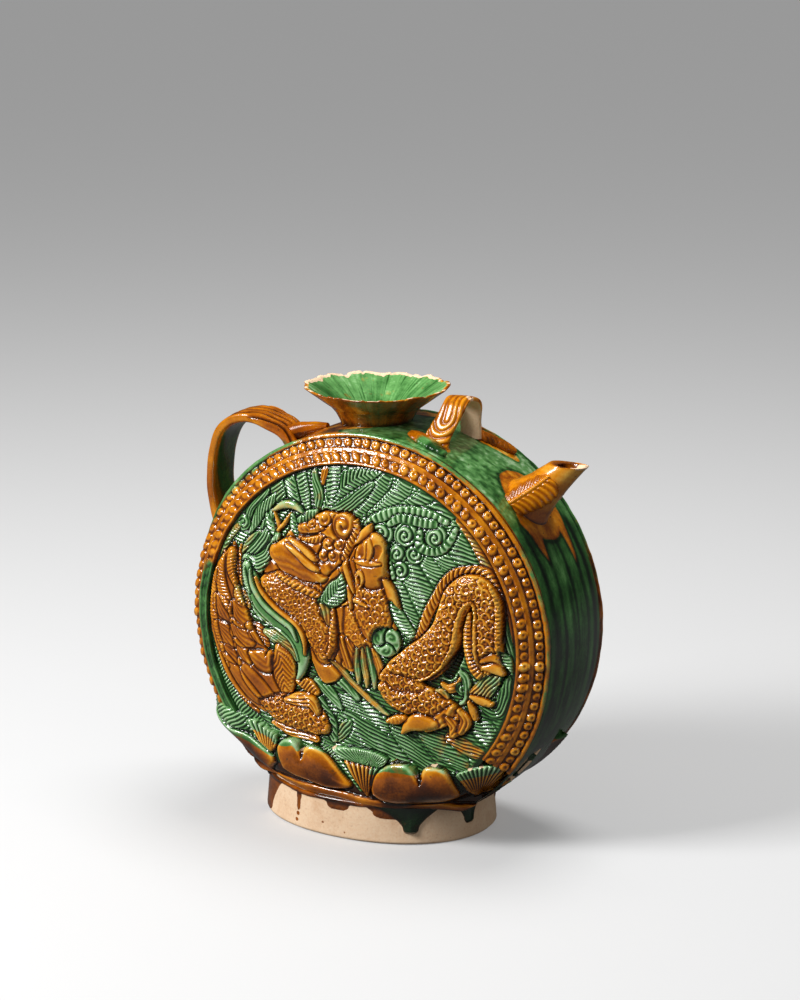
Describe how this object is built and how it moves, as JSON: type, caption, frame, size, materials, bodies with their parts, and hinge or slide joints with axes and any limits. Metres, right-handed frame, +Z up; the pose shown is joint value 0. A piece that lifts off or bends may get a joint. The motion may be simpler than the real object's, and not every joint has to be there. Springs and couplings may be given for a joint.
{
  "type": "sancai ewer",
  "caption": "Disc-bodied ewer with a moulded relief on each face, flared mouth, short spout, strap handle, small loop and oval foot ring.",
  "frame": {"origin": "on the plane that the foot stands on, under the centre of the disc", "axes": "+Z up, +X towards the spout, Y along the disc's axis with the front face towards -Y"},
  "size_m": [0.2079, 0.096, 0.2201],
  "materials": {
    "green_glaze": "glossy copper-green lead glaze over pale earthenware, amber on the relief and the border",
    "amber_glaze": "glossy amber-brown iron lead glaze over pale earthenware",
    "bare_clay": "unglazed buff earthenware with a few glaze runs"
  },
  "bodies": {
    "root": {"front_shell": "green_glaze", "back_shell": "green_glaze", "foot_ring": "bare_clay", "mouth_cup": "amber_glaze", "handle_strap": "amber_glaze", "handle_tongue": "amber_glaze", "loop_strap": "amber_glaze", "loop_leaf_front": "green_glaze", "loop_leaf_back": "amber_glaze", "spout_tube": "amber_glaze", "spout_leaf_front": "amber_glaze", "spout_leaf_back": "amber_glaze"}
  },
  "joints": []
}
